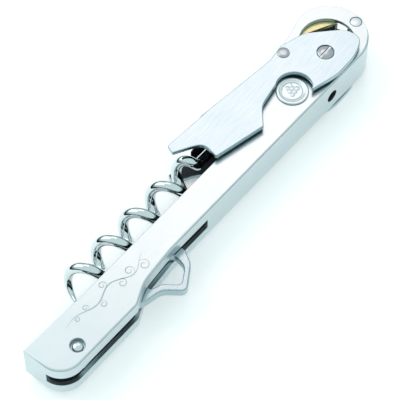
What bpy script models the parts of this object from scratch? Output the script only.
"""A waiter's lever corkscrew, folded, lying on its far side.

In the design frame X runs along the handle towards the ring-shaped head, with X = 0 at the cap
lifter's pivot.  Y runs from the spine, whose outer face is at Y = 0, towards the worm.  Z is square to
the side plates, with Z = 0 halfway between them.  At the end the whole part is moved so that its
lowest face stands on Z = 0 and its box is centred on X = Y = 0.
"""
import math

import bmesh
import bpy
import numpy as np
from mathutils import Vector

MM = 0.001

# Handle: one folded sheet, two side plates joined by the spine and the end wall
HANDLE_THICKNESS = 10.5 * MM
HANDLE_SHEET = 1.0 * MM
PLATE_DEPTH = 8.1 * MM
END_X = -9.2 * MM
END_TOP_Y = 8.8 * MM
BUTT_DEPTH = 3.7 * MM
BUTT_LENGTH = 17.2 * MM
END_RADIUS = 6.0 * MM
NOTCH_RUN = 5.8 * MM
NOTCH_RISE = 2.7 * MM
LUG_HEIGHT = 12.4 * MM
HEAD_X = 109.3 * MM
HEAD_RADIUS = 9.9 * MM
SHOULDER_X = HEAD_X - 11.3 * MM
SHOULDER_Y = 17.2 * MM
WALL_END_ANGLE = -35.0
SLOT_END_X = 47.6 * MM
SLOT_END_RISE = 2.0 * MM
SPINE_HOLE_X = HEAD_X - 11.8 * MM
SPINE_HOLE_RADIUS = 1.6 * MM
WINDOW_X = HEAD_X - 2.0 * MM
WINDOW_Y = 9.4 * MM
WINDOW_RADIUS = 7.3 * MM

# Clearances
SEAT_GAP = 0.15 * MM
PIN_GAP = 0.1 * MM

# Worm: one bent wire, a coil, a shank and an eye
WORM_PIVOT = (HEAD_X - 20.3 * MM, 6.5 * MM)
WORM_PIN_RADIUS = 1.65 * MM
WIRE_RADIUS = 1.4 * MM
COIL_RADIUS = 3.5 * MM
COIL_AXIS_Y = 13.0 * MM
COIL_PITCH = 10.15 * MM
COIL_START_X = WORM_PIVOT[0] - 29.0 * MM
COIL_TURNS = 4.88
COIL_PHASE = 158.0
COIL_LEAD_IN = 0.34
TIP_TURNS = 0.7
TIP_RADIUS = 0.25 * MM
EYE_RADIUS = WORM_PIN_RADIUS + WIRE_RADIUS + SEAT_GAP
EYE_TURN = 255.0
SHANK_BEND_X = WORM_PIVOT[0] - 17.0 * MM
MEDALLION_RADIUS = 4.2 * MM
MEDALLION_PROUD = 0.45 * MM

# Lever: two arms outside the handle's plates, joined by a barrel at the pivot
LEVER_PIVOT = (HEAD_X - 6.4 * MM, 6.8 * MM)
LEVER_GAP = 0.8 * MM
LEVER_SHEET = 1.3 * MM
LEVER_LIP_END = 2.3 * MM
LIP_X = (LEVER_PIVOT[0] - 40.4 * MM, LEVER_PIVOT[0] - 17.4 * MM)
BARREL_RADIUS = 2.4 * MM
SCREW_RADIUS = 1.2 * MM
SCREW_HEAD_RADIUS = 2.2 * MM
SCREW_HEAD_PROUD = 0.35 * MM
HEAD_RECESS = 0.5 * MM
SCREW_SLOT_WIDTH = 0.5 * MM
WASHER_RADIUS = 3.6 * MM
STUD = (LEVER_PIVOT[0] - 7.0 * MM, 14.9 * MM)
STUD_RADIUS = 1.65 * MM
STUD_SHANK_RADIUS = 0.8 * MM
NOTCH_CENTRE = (WORM_PIVOT[0] + 0.2 * MM, WORM_PIVOT[1] - 0.5 * MM)
NOTCH_RADIUS = 4.75 * MM
UPPER_EDGE = ((-32.4, 18.3), (-11.3, 16.1))  # in millimetres, x from the lever's pivot

# Foil cutter in the head
BLADE_THICKNESS = 0.8 * MM
BLADE_EDGE_DISTANCE = 3.8 * MM
BLADE_EDGE_ANGLE = 63.7
BLADE_OVERHANG = 0.35 * MM
BLADE_END_X = HEAD_X + 5.0 * MM
CARRIER_RIVET = (HEAD_X - 8.9 * MM, 13.2 * MM)
CARRIER_RIVET_RADIUS = 0.9 * MM
HEAD_RIVET = (HEAD_X + 7.7 * MM, 7.6 * MM)
HEAD_RIVET_RADIUS = 1.5 * MM
HEAD_RIVET_GAP = 0.12 * MM

# Crown cap lifter in the spine's slot
LIFTER_THICKNESS = 2.6 * MM
SLOT_WIDTH = LIFTER_THICKNESS + 0.9 * MM
LIFTER_EYE_RADIUS = 3.1 * MM
LIFTER_PIN_RADIUS = 1.3 * MM
LIFTER_PIN_HOLE = 1.85 * MM
LIFTER_BUSH_WALL = 1.0 * MM

SEGMENT_ANGLE = 15.0
ROUND_SEGMENTS = 32

HALF = HANDLE_THICKNESS / 2
INNER = HALF - HANDLE_SHEET
LEVER_INNER = HALF + LEVER_GAP
LEVER_OUTER = LEVER_INNER + LEVER_SHEET
HEAD_Y = HEAD_RADIUS

LOOKS = {
    "satin_steel": ((0.78, 0.79, 0.82), 0.28, 1.0),
    "polished_steel": ((0.80, 0.81, 0.83), 0.10, 1.0),
    "gold_coated_steel": ((0.76, 0.58, 0.22), 0.25, 1.0),
    "black_acetal": ((0.02, 0.02, 0.022), 0.45, 0.0),
}


# ---------------------------------------------------------------- outlines
def arc(centre, radius, start, end, step=SEGMENT_ANGLE):
    """Points on a circle from one angle to another, in degrees, both ends included."""
    count = max(2, math.ceil(abs(end - start) / step) + 1)
    angles = np.radians(np.linspace(start, end, count))
    return [(centre[0] + radius * math.cos(a), centre[1] + radius * math.sin(a)) for a in angles]


def rounded(corners, step=SEGMENT_ANGLE):
    """A closed outline through corners (x, y, radius), each corner replaced by its fillet arc."""
    points = []
    for i, (x, y, radius) in enumerate(corners):
        here = Vector((x, y))
        before = (Vector(corners[i - 1][:2]) - here).normalized()
        after = (Vector(corners[(i + 1) % len(corners)][:2]) - here).normalized()
        opening = before.angle(after)
        if radius == 0 or opening > math.radians(179.5):
            points.append((x, y))
            continue
        reach = radius / math.tan(opening / 2)
        centre = here + (before + after).normalized() * radius / math.sin(opening / 2)
        first = here + before * reach - centre
        last = here + after * reach - centre
        start = math.degrees(math.atan2(first.y, first.x))
        sweep = math.degrees(math.atan2(first.x * last.y - first.y * last.x, first.dot(last)))
        points += arc(centre, radius, start, start + sweep, step)
    return points


def offset_inwards(path, distance):
    """An open path moved sideways to its left by a distance, with mitred corners."""
    points = [Vector(p) for p in path]
    moved = []
    for i, here in enumerate(points):
        into = (here - points[i - 1]).normalized() if i else None
        out = (points[i + 1] - here).normalized() if i < len(points) - 1 else None
        into = into or out
        out = out or into
        normal = Vector((-into.y - out.y, into.x + out.x)).normalized()
        scale = normal.dot(Vector((-into.y, into.x)))
        moved.append(tuple(here + normal * distance / scale))
    return moved


# ---------------------------------------------------------------- Blender helpers
def clear_scene():
    for old in list(bpy.data.objects):
        bpy.data.objects.remove(old, do_unlink=True)


def make_material(name):
    colour, roughness, metallic = LOOKS[name]
    material = bpy.data.materials.new(name)
    material.use_nodes = True
    shader = material.node_tree.nodes["Principled BSDF"]
    shader.inputs["Base Color"].default_value = (*colour, 1.0)
    shader.inputs["Roughness"].default_value = roughness
    shader.inputs["Metallic"].default_value = metallic
    return material


def make_empty(name, position, parent=None):
    empty = bpy.data.objects.new(name, None)
    empty.empty_display_size = 0.01
    empty.location = (position[0], position[1], 0.0)
    bpy.context.collection.objects.link(empty)
    if parent:
        empty.parent = parent
    return empty


def make_object(name, mesh, parent, material=None, smooth_angle=35.0):
    """An object whose mesh is drawn in the design frame, hung on the empty at its own pivot."""
    shape = bpy.data.objects.new(name, mesh)
    bpy.context.collection.objects.link(shape)
    shape.parent = parent
    if parent.parent:
        shape.location = -parent.location
    if material:
        mesh.materials.append(material)
    mesh.shade_smooth()
    mesh.set_sharp_from_angle(angle=math.radians(smooth_angle))
    return shape


def mesh_from(build, name):
    """Run a function on a new bmesh and store the result, faces pointing out."""
    work = bmesh.new()
    build(work)
    bmesh.ops.recalc_face_normals(work, faces=work.faces)
    mesh = bpy.data.meshes.new(name)
    work.to_mesh(mesh)
    work.free()
    return mesh


def prism_mesh(name, outline, low, high):
    """An outline in the XY plane extruded from one height to another."""
    def build(work):
        corners = [work.verts.new((x, y, low)) for x, y in outline]
        floor = work.faces.new(corners)
        raised = bmesh.ops.extrude_face_region(work, geom=[floor])
        lifted = [item for item in raised["geom"] if isinstance(item, bmesh.types.BMVert)]
        bmesh.ops.translate(work, verts=lifted, vec=(0, 0, high - low))
    return mesh_from(build, name)


def turned_mesh(name, centre, profile, segments=ROUND_SEGMENTS):
    """A profile of (radius, height) pairs spun about the vertical through a centre.

    A profile that starts and ends on the axis gives a solid pin; one that doesn't is a closed ring
    section and gives a bush or a washer."""
    def build(work):
        verts = [work.verts.new((centre[0] + r, centre[1], z)) for r, z in profile]
        closed = profile[0][0] > 0
        pairs = list(zip(verts, verts[1:] + verts[:1])) if closed else list(zip(verts, verts[1:]))
        edges = [work.edges.new(pair) for pair in pairs]
        bmesh.ops.spin(work, geom=verts + edges, cent=(centre[0], centre[1], 0), axis=(0, 0, 1),
                       angle=math.tau, steps=segments, use_merge=True)
        bmesh.ops.remove_doubles(work, verts=work.verts, dist=1e-7)
    return mesh_from(build, name)


def tube_mesh(name, points, radii, sides=12):
    """A round bar along a path of 3D points, one radius for each, with flat ends."""
    path = np.array(points)
    tangents = np.gradient(path, axis=0)
    tangents /= np.linalg.norm(tangents, axis=1)[:, None]
    normal = np.cross(tangents[0], (0.0, 0.0, 1.0))
    rings = []
    for point, tangent, radius in zip(path, tangents, radii):
        normal = normal - tangent * normal.dot(tangent)
        normal /= np.linalg.norm(normal)
        across = np.cross(tangent, normal)
        angles = np.linspace(0, math.tau, sides, endpoint=False)
        rings.append([point + radius * (math.cos(a) * normal + math.sin(a) * across) for a in angles])

    def build(work):
        loops = []
        for ring in rings:
            verts = [work.verts.new(p) for p in ring]
            loops.append([work.edges.new(pair) for pair in zip(verts, verts[1:] + verts[:1])])
        for lower, upper in zip(loops, loops[1:]):
            bmesh.ops.bridge_loops(work, edges=lower + upper)
        for end in (loops[0], loops[-1]):
            bmesh.ops.contextual_create(work, geom=end)
    return mesh_from(build, name)


def cut(shape, cutter_mesh, operation="DIFFERENCE"):
    """Put a Boolean on a shape, with its cutter as a hidden guide on the same parent."""
    cutter = make_object(cutter_mesh.name, cutter_mesh, shape.parent)
    cutter.hide_render = True
    cutter.display_type = "WIRE"
    boolean = shape.modifiers.new(cutter.name, "BOOLEAN")
    boolean.operation = operation
    boolean.solver = "EXACT"
    boolean.object = cutter
    return shape


def cut_round(shape, name, centre, radius, low=-0.02, high=0.02):
    outline = arc(centre, radius, 0, 360 - 360 / ROUND_SEGMENTS, 360 / ROUND_SEGMENTS)
    return cut(shape, prism_mesh(name, outline, low, high))


def cut_box(shape, name, low, high):
    outline = [(low[0], low[1]), (high[0], low[1]), (high[0], high[1]), (low[0], high[1])]
    return cut(shape, prism_mesh(name, outline, low[2], high[2]))


# ---------------------------------------------------------------- handle
def closed_wall_path():
    """The outer line of the folded wall: down the end, along the spine and round under the head."""
    corners = [
        (END_X, END_TOP_Y, 0),
        (END_X, -BUTT_DEPTH, END_RADIUS),
        (BUTT_LENGTH, -BUTT_DEPTH, 1.2 * MM),
        (BUTT_LENGTH + NOTCH_RUN, NOTCH_RISE - BUTT_DEPTH, 9 * MM),
        (BUTT_LENGTH + NOTCH_RUN + 11 * MM, 0, 14 * MM),
        (HEAD_X, 0, 0),
    ]
    path = rounded(corners)
    return path[:-1] + arc((HEAD_X, HEAD_Y), HEAD_RADIUS, -90, WALL_END_ANGLE)


def handle_outline():
    """The side plates' outline: the wall's line, the head and the open edge back to the end."""
    head = arc((HEAD_X, HEAD_Y), HEAD_RADIUS, WALL_END_ANGLE, 92)[1:]
    open_edge = rounded([
        (SHOULDER_X, SHOULDER_Y, 1.8 * MM),
        (SHOULDER_X - 2.0 * MM, LUG_HEIGHT, 2.5 * MM),
        (WORM_PIVOT[0] - 7.5 * MM, LUG_HEIGHT, 3 * MM),
        (WORM_PIVOT[0] - 14.0 * MM, PLATE_DEPTH, 6 * MM),
        (9.5 * MM, PLATE_DEPTH, 20 * MM),
        (END_X, END_TOP_Y, 0),
        (*head[-1], 0),
    ])
    return closed_wall_path()[1:] + head + open_edge[:-1]


def window_outline():
    """The head's window: a circle cut off by a chord that leaves metal round the lever's pivot."""
    toward = Vector((WINDOW_X, WINDOW_Y)) - Vector(LEVER_PIVOT)
    across = 47.0
    normal = Vector((math.cos(math.radians(across)), math.sin(math.radians(across))))
    chord = BARREL_RADIUS + 2.2 * MM - toward.dot(normal)
    half_angle = math.degrees(math.acos(chord / WINDOW_RADIUS))
    return arc((WINDOW_X, WINDOW_Y), WINDOW_RADIUS, across - half_angle, across + half_angle, 8)


def make_handle(parent, material):
    shell = make_object("handle_shell", prism_mesh("handle_shell", handle_outline(), -HALF, HALF),
                        parent, material)
    wall = offset_inwards(closed_wall_path(), HANDLE_SHEET)
    last = wall[-1]
    hollow = [(wall[0][0], 0.04)] + wall[1:] + [(last[0] + 0.01, last[1] - 0.006), (0.13, 0.04)]
    cut(shell, prism_mesh("handle_hollow", hollow, -INNER, INNER))
    cut_box(shell, "spine_slot", (END_X - 0.002, -0.01, -SLOT_WIDTH / 2),
            (SLOT_END_X, SLOT_END_RISE, SLOT_WIDTH / 2))
    cut(shell, prism_mesh("head_window", window_outline(), -0.02, 0.02))
    cut_round(shell, "worm_pin_hole", WORM_PIVOT, WORM_PIN_RADIUS + PIN_GAP)
    cut_round(shell, "lever_barrel_hole", LEVER_PIVOT, BARREL_RADIUS + PIN_GAP)
    cut_round(shell, "lifter_pin_hole", (0, 0), LIFTER_PIN_HOLE)
    cut_round(shell, "head_rivet_hole", HEAD_RIVET, HEAD_RIVET_RADIUS + HEAD_RIVET_GAP)
    cut_round(shell, "carrier_rivet_hole", CARRIER_RIVET, CARRIER_RIVET_RADIUS + PIN_GAP)
    drill = prism_mesh("spine_hole", arc((0, 0), SPINE_HOLE_RADIUS, 0, 345), 0, 0.004)
    for vertex in drill.vertices:
        x, y, z = vertex.co
        vertex.co = (SPINE_HOLE_X + x, z - 0.002, -y)
    cut(shell, drill)
    return shell


# ---------------------------------------------------------------- worm
def smooth_step(t):
    t = np.clip(t, 0, 1)
    return t * t * (3 - 2 * t)


def coil_points():
    """The coil from its sharp tip to its last turn, which closes in on the axis to meet the shank."""
    turns = np.linspace(COIL_TURNS, 0, round(COIL_TURNS * 22) + 1)
    x = COIL_START_X - COIL_PITCH * turns
    angle = math.radians(COIL_PHASE) - math.tau * turns
    radius = COIL_RADIUS * smooth_step(turns / COIL_LEAD_IN)
    taper = np.clip((COIL_TURNS - turns) / TIP_TURNS, 0, 1)
    thickness = TIP_RADIUS + (WIRE_RADIUS - TIP_RADIUS) * taper
    points = np.stack([x, COIL_AXIS_Y + radius * np.cos(angle), radius * np.sin(angle)], axis=1)
    return points, thickness


def shank_points():
    """The straight shank, eased down from the coil's axis to a tangent of the eye, and the eye."""
    tangent_y = WORM_PIVOT[1] + EYE_RADIUS
    x = np.linspace(COIL_START_X + 1.5 * MM, WORM_PIVOT[0] - 0.6 * MM, 16)
    ease = smooth_step((x - SHANK_BEND_X) / (WORM_PIVOT[0] - 3 * MM - SHANK_BEND_X))
    y = COIL_AXIS_Y + (tangent_y - COIL_AXIS_Y) * ease
    run = np.stack([x, y, np.zeros_like(x)], axis=1)
    eye = np.array(arc(WORM_PIVOT, EYE_RADIUS, 90, 90 - EYE_TURN))
    eye = np.column_stack([eye, np.zeros(len(eye))])
    return np.concatenate([run, eye])


def make_worm(parent, material):
    coil, thickness = coil_points()
    shank = shank_points()
    path = np.concatenate([coil, shank])
    radii = np.concatenate([thickness, np.full(len(shank), WIRE_RADIUS)])
    return make_object("worm", tube_mesh("worm", path, radii), parent, material, 60)


def make_worm_pivot(parent, steel):
    length = HALF - 0.1 * MM
    pin = [(0, -length), (WORM_PIN_RADIUS, -length), (WORM_PIN_RADIUS, length), (0, length)]
    make_object("worm_pivot_pin", turned_mesh("worm_pivot_pin", WORM_PIVOT, pin), parent, steel)
    bore = WORM_PIN_RADIUS + PIN_GAP
    sleeve = (WIRE_RADIUS + SEAT_GAP, INNER - SEAT_GAP)
    for side, name in ((1, "near"), (-1, "far")):
        ring = [(bore, side * sleeve[0]), (bore + 1.2 * MM, side * sleeve[0]),
                (bore + 1.2 * MM, side * sleeve[1]), (bore, side * sleeve[1])]
        bush = turned_mesh(f"worm_bush_{name}", WORM_PIVOT, ring)
        make_object(bush.name, bush, parent, steel)
        low = HALF + 0.02 * MM
        top = HALF + MEDALLION_PROUD
        rim = MEDALLION_RADIUS - 0.15 * MM
        dish = MEDALLION_RADIUS - 0.95 * MM
        face = [(0, side * low), (MEDALLION_RADIUS, side * low),
                (MEDALLION_RADIUS, side * (top - 0.15 * MM)), (rim, side * top), (dish, side * top),
                (dish - 0.1 * MM, side * (top - 0.12 * MM)), (0, side * (top - 0.12 * MM))]
        cap = turned_mesh(f"medallion_{name}", WORM_PIVOT, face, 48)
        make_object(cap.name, cap, parent, steel)


# ---------------------------------------------------------------- lever
def lever_outline():
    """An arm of the lever: rest end, upper edge, boss round the pivot, hook and notch.

    The corners are (x from the lever's pivot, y, radius) in millimetres."""
    lower_edge = [(-42.4, 7.9, 0.5), (-27.9, 4.6, 0.6), (-23.1, 8.9, 6)]
    boss = [(-11.6, 2.3, 0.3), (-3.5, 0.1, 12), (4.2, 0.3, 14), (10.0, 2.6, 3), (9.0, 7.6, 5), (1.5, 14.7, 6),
            (-5.5, 16.9, 1.2)]
    upper_edge = [(*UPPER_EDGE[1], 8), (*UPPER_EDGE[0], 16), (-47.7, 19.2, 0.6)]
    rest_end = [(-48.6, 16.9, 0.4), (-44.3, 14.5, 3), (-41.5, 12.6, 3)]
    notch = [(x, y, 0) for x, y in arc(NOTCH_CENTRE, NOTCH_RADIUS, 118, -38, 10)]
    return rounded(from_lever_pivot(lower_edge) + notch
                   + from_lever_pivot(boss + upper_edge + rest_end))


def from_lever_pivot(corners):
    return [(LEVER_PIVOT[0] + x * MM, y * MM, radius * MM) for x, y, radius in corners]


def upper_edge_y(x):
    """The height of the lever's long straight upper edge."""
    (left, left_y), (right, right_y) = UPPER_EDGE
    share = ((x - LEVER_PIVOT[0]) / MM - left) / (right - left)
    return (left_y + share * (right_y - left_y)) * MM


def make_lever_arm(name, side, parent, material):
    low, high = sorted((side * LEVER_INNER, side * LEVER_OUTER))
    arm = make_object(name, prism_mesh(name, lever_outline(), low, high), parent, material)
    first, last = LIP_X
    lip = [(first, upper_edge_y(first) - LEVER_SHEET), (last, upper_edge_y(last) - LEVER_SHEET),
           (last, upper_edge_y(last) - 0.02 * MM),
           (first + 5 * MM, upper_edge_y(first + 5 * MM) - 0.02 * MM)]
    lip_low, lip_high = sorted((side * LEVER_LIP_END, side * (LEVER_OUTER - 0.02 * MM)))
    cut(arm, prism_mesh(name + "_lip", lip, lip_low, lip_high), "UNION")
    cut_round(arm, name + "_screw_hole", LEVER_PIVOT, SCREW_RADIUS + PIN_GAP)
    recess_low, recess_high = sorted((side * (LEVER_OUTER - HEAD_RECESS), side * (LEVER_OUTER + 1 * MM)))
    cut_round(arm, name + "_recess", LEVER_PIVOT, SCREW_HEAD_RADIUS + SEAT_GAP, recess_low, recess_high)
    cut_round(arm, name + "_stud_hole", STUD, STUD_SHANK_RADIUS + PIN_GAP)
    return arm


def make_lever_pivot(parent, root, steel):
    reach = LEVER_INNER - PIN_GAP
    bore = SCREW_RADIUS + PIN_GAP
    barrel = [(bore, -reach), (BARREL_RADIUS, -reach), (BARREL_RADIUS, reach), (bore, reach)]
    make_object("lever_barrel", turned_mesh("lever_barrel", LEVER_PIVOT, barrel), parent, steel)
    seat = LEVER_OUTER - HEAD_RECESS + 0.05 * MM
    top = LEVER_OUTER + SCREW_HEAD_PROUD
    screw = [(0, 0.2 * MM), (SCREW_RADIUS, 0.2 * MM), (SCREW_RADIUS, seat),
             (SCREW_HEAD_RADIUS, seat), (SCREW_HEAD_RADIUS, top - 0.3 * MM),
             (SCREW_HEAD_RADIUS - 0.35 * MM, top - 0.05 * MM), (0, top)]
    head = make_object("lever_screw", turned_mesh("lever_screw", LEVER_PIVOT, screw), parent, steel)
    px, py = LEVER_PIVOT
    cut_box(head, "screw_slot", (px - 3 * MM, py - SCREW_SLOT_WIDTH / 2, top - 0.35 * MM),
            (px + 3 * MM, py + SCREW_SLOT_WIDTH / 2, top + 1 * MM))
    bottom = LEVER_OUTER - 0.05 * MM
    nut = [(0, -bottom), (SCREW_HEAD_RADIUS, -bottom), (SCREW_HEAD_RADIUS, -seat), (SCREW_RADIUS, -seat),
           (SCREW_RADIUS, -0.2 * MM), (0, -0.2 * MM)]
    make_object("lever_nut", turned_mesh("lever_nut", LEVER_PIVOT, nut), parent, steel)
    inner = BARREL_RADIUS + PIN_GAP
    for side, name in ((1, "near"), (-1, "far")):
        low = side * (HALF + 0.1 * MM)
        high = side * (LEVER_INNER - 0.1 * MM)
        ring = [(inner, low), (WASHER_RADIUS, low), (WASHER_RADIUS, high), (inner, high)]
        washer = turned_mesh(f"lever_washer_{name}", LEVER_PIVOT, ring)
        make_object(washer.name, washer, root, steel)


def make_studs(parent, steel):
    """The click studs: the near one is domed, the far one is ground flush with its arm."""
    tip = LEVER_INNER - 0.5 * MM
    face = LEVER_OUTER + 0.03 * MM
    near = [(0, tip), (STUD_SHANK_RADIUS, tip), (STUD_SHANK_RADIUS, face), (STUD_RADIUS, face),
            (STUD_RADIUS, face + 0.09 * MM), (STUD_RADIUS * 0.6, face + 0.27 * MM),
            (0, face + 0.27 * MM)]
    flush = LEVER_OUTER - 0.05 * MM
    far = [(0, -flush), (STUD_SHANK_RADIUS, -flush), (STUD_SHANK_RADIUS, -tip), (0, -tip)]
    for name, profile in (("lever_stud_near", near), ("lever_stud_far", far)):
        make_object(name, turned_mesh(name, STUD, profile), parent, steel)


# ---------------------------------------------------------------- foil cutter
def cutter_outline(edge_distance, grow):
    """A slice of the head beyond a straight edge, with a tail that reaches its own rivet."""
    centre = Vector((HEAD_X, HEAD_Y))
    turn = math.radians(BLADE_EDGE_ANGLE)
    normal = Vector((math.cos(turn), math.sin(turn)))
    along = Vector((normal.y, -normal.x))
    foot = centre + normal * edge_distance
    right = foot + along * (BLADE_END_X - foot.x) / along.x
    outer = HEAD_RADIUS - HANDLE_SHEET - grow
    start = math.degrees(math.atan2(right.y - centre.y, right.x - centre.x))
    rim = arc(centre, outer, start, 118, 8)
    neck_x = LEVER_PIVOT[0] + 3.2 * MM
    tail = rounded([
        (SHOULDER_X + 1.6 * MM, SHOULDER_Y - 1.2 * MM, 1 * MM),
        (SHOULDER_X + 0.9 * MM, LUG_HEIGHT - 0.6 * MM, 1 * MM),
        (LEVER_PIVOT[0] - 0.2 * MM, LEVER_PIVOT[1] + BARREL_RADIUS + 2.2 * MM, 1 * MM),
        (neck_x, foot.y - (neck_x - foot.x) * normal.x / normal.y, 0),
        (*rim[-1], 0),
    ])
    return [tuple(right)] + rim + tail[:-1]


def make_foil_cutter(parent, steel, gold, black):
    blade_top = INNER - SEAT_GAP
    blade_low = blade_top - BLADE_THICKNESS
    carrier_top = blade_low - PIN_GAP
    carrier = prism_mesh("blade_carrier", cutter_outline(BLADE_EDGE_DISTANCE + BLADE_OVERHANG, 0),
                         -INNER + SEAT_GAP, carrier_top)
    carrier = make_object("blade_carrier", carrier, parent, black)
    blade = prism_mesh("foil_blade", cutter_outline(BLADE_EDGE_DISTANCE, 0), blade_low, blade_top)
    blade = make_object("foil_blade", blade, parent, gold)
    for piece in (carrier, blade):
        cut_round(piece, piece.name + "_rivet_hole", CARRIER_RIVET, CARRIER_RIVET_RADIUS + PIN_GAP)
    flush = HALF - 0.02 * MM
    pin = [(0, -flush), (CARRIER_RIVET_RADIUS, -flush), (CARRIER_RIVET_RADIUS, flush), (0, flush)]
    make_object("carrier_rivet", turned_mesh("carrier_rivet", CARRIER_RIVET, pin, 20), parent, steel)


def make_head_rivet(parent, steel):
    flush = HALF + 0.03 * MM
    pin = [(0, -flush), (HEAD_RIVET_RADIUS, -flush), (HEAD_RIVET_RADIUS, flush), (0, flush)]
    make_object("head_rivet", turned_mesh("head_rivet", HEAD_RIVET, pin), parent, steel)
    bore = HEAD_RIVET_RADIUS + PIN_GAP
    length = INNER - SEAT_GAP
    ring = [(bore, -length), (bore + 0.45 * MM, -length), (bore + 0.45 * MM, length), (bore, length)]
    make_object("head_spacer", turned_mesh("head_spacer", HEAD_RIVET, ring), parent, steel)


# ---------------------------------------------------------------- cap lifter
def lifter_outline():
    """The lifter's arm and its rounded loop, which stands out of the spine."""
    hub = [(x, y, 0) for x, y in arc((0, 0), LIFTER_EYE_RADIUS, 90, 250)]
    arm = [
        (6 * MM, -1.9 * MM, 4 * MM),
        (17 * MM, -1.5 * MM, 6 * MM),
        (20.8 * MM, -3.1 * MM, 4 * MM),
    ]
    loop = [
        (25.4 * MM, -4.0 * MM, 4 * MM),
        (29.2 * MM, -8.9 * MM, 1.6 * MM),
        (35.8 * MM, -4.6 * MM, 4.5 * MM),
        (38.2 * MM, -0.4 * MM, 2.2 * MM),
        (36.0 * MM, 3.1 * MM, 2.4 * MM),
    ]
    return rounded(hub + arm + loop)


def lifter_eye():
    return rounded([
        (23.6 * MM, -1.6 * MM, 0.8 * MM),
        (26.9 * MM, -2.9 * MM, 3 * MM),
        (29.8 * MM, -6.7 * MM, 1.3 * MM),
        (34.2 * MM, -3.9 * MM, 3 * MM),
        (35.2 * MM, 0.9 * MM, 1.6 * MM),
        (25.4 * MM, 0.9 * MM, 1.2 * MM),
    ])


def make_lifter(parent, root, steel):
    half = LIFTER_THICKNESS / 2
    blank = prism_mesh("cap_lifter", lifter_outline(), -half, half)
    lifter = make_object("cap_lifter", blank, parent, steel)
    cut(lifter, prism_mesh("lifter_loop", lifter_eye(), -0.01, 0.01))
    cut_round(lifter, "lifter_bore", (0, 0), LIFTER_PIN_RADIUS + PIN_GAP)
    top = HALF - 0.15 * MM
    pin = [(0, -top), (LIFTER_PIN_RADIUS * 0.55, -top), (LIFTER_PIN_RADIUS, -top + 0.35 * MM),
           (LIFTER_PIN_RADIUS, top - 0.35 * MM), (LIFTER_PIN_RADIUS * 0.55, top), (0, top)]
    make_object("lifter_rivet", turned_mesh("lifter_rivet", (0, 0), pin), root, steel)
    bore = LIFTER_PIN_RADIUS + PIN_GAP
    for side, name in ((1, "near"), (-1, "far")):
        low = side * (half + SEAT_GAP)
        high = side * (INNER - SEAT_GAP)
        outer = bore + LIFTER_BUSH_WALL
        ring = [(bore, low), (outer, low), (outer, high), (bore, high)]
        bush = turned_mesh(f"lifter_bush_{name}", (0, 0), ring)
        make_object(bush.name, bush, root, steel)


# ---------------------------------------------------------------- whole part
def stand_on_origin(root):
    """Move the part so that its box is centred on X = Y = 0 and its lowest face is at Z = 0."""
    bpy.context.view_layer.update()
    graph = bpy.context.evaluated_depsgraph_get()
    low = np.full(3, np.inf)
    high = np.full(3, -np.inf)
    for shape in bpy.data.objects:
        if shape.type != "MESH" or shape.hide_render:
            continue
        seen = shape.evaluated_get(graph)
        corners = np.array([seen.matrix_world @ v.co for v in seen.data.vertices])
        low = np.minimum(low, corners.min(axis=0))
        high = np.maximum(high, corners.max(axis=0))
    centre = (low + high) / 2
    root.location = (-centre[0], -centre[1], -low[2])
    print("size in mm", np.round((high - low) / MM, 2))
    print("design origin at", np.round(np.array(root.location), 6))


def main():
    clear_scene()
    satin, polished, gold, black = (make_material(name) for name in LOOKS)
    root = make_empty("corkscrew", (0, 0))
    worm_pivot = make_empty("worm_pivot", WORM_PIVOT, root)
    lever_pivot = make_empty("lever_pivot", LEVER_PIVOT, root)
    lifter_pivot = make_empty("lifter_pivot", (0, 0), root)
    make_handle(root, satin)
    make_worm(worm_pivot, polished)
    make_worm_pivot(root, satin)
    for side, name in ((1, "lever_arm_near"), (-1, "lever_arm_far")):
        make_lever_arm(name, side, lever_pivot, satin)
    make_lever_pivot(lever_pivot, root, polished)
    make_studs(lever_pivot, polished)
    make_foil_cutter(root, polished, gold, black)
    make_head_rivet(root, polished)
    make_lifter(lifter_pivot, root, satin)
    stand_on_origin(root)


main()
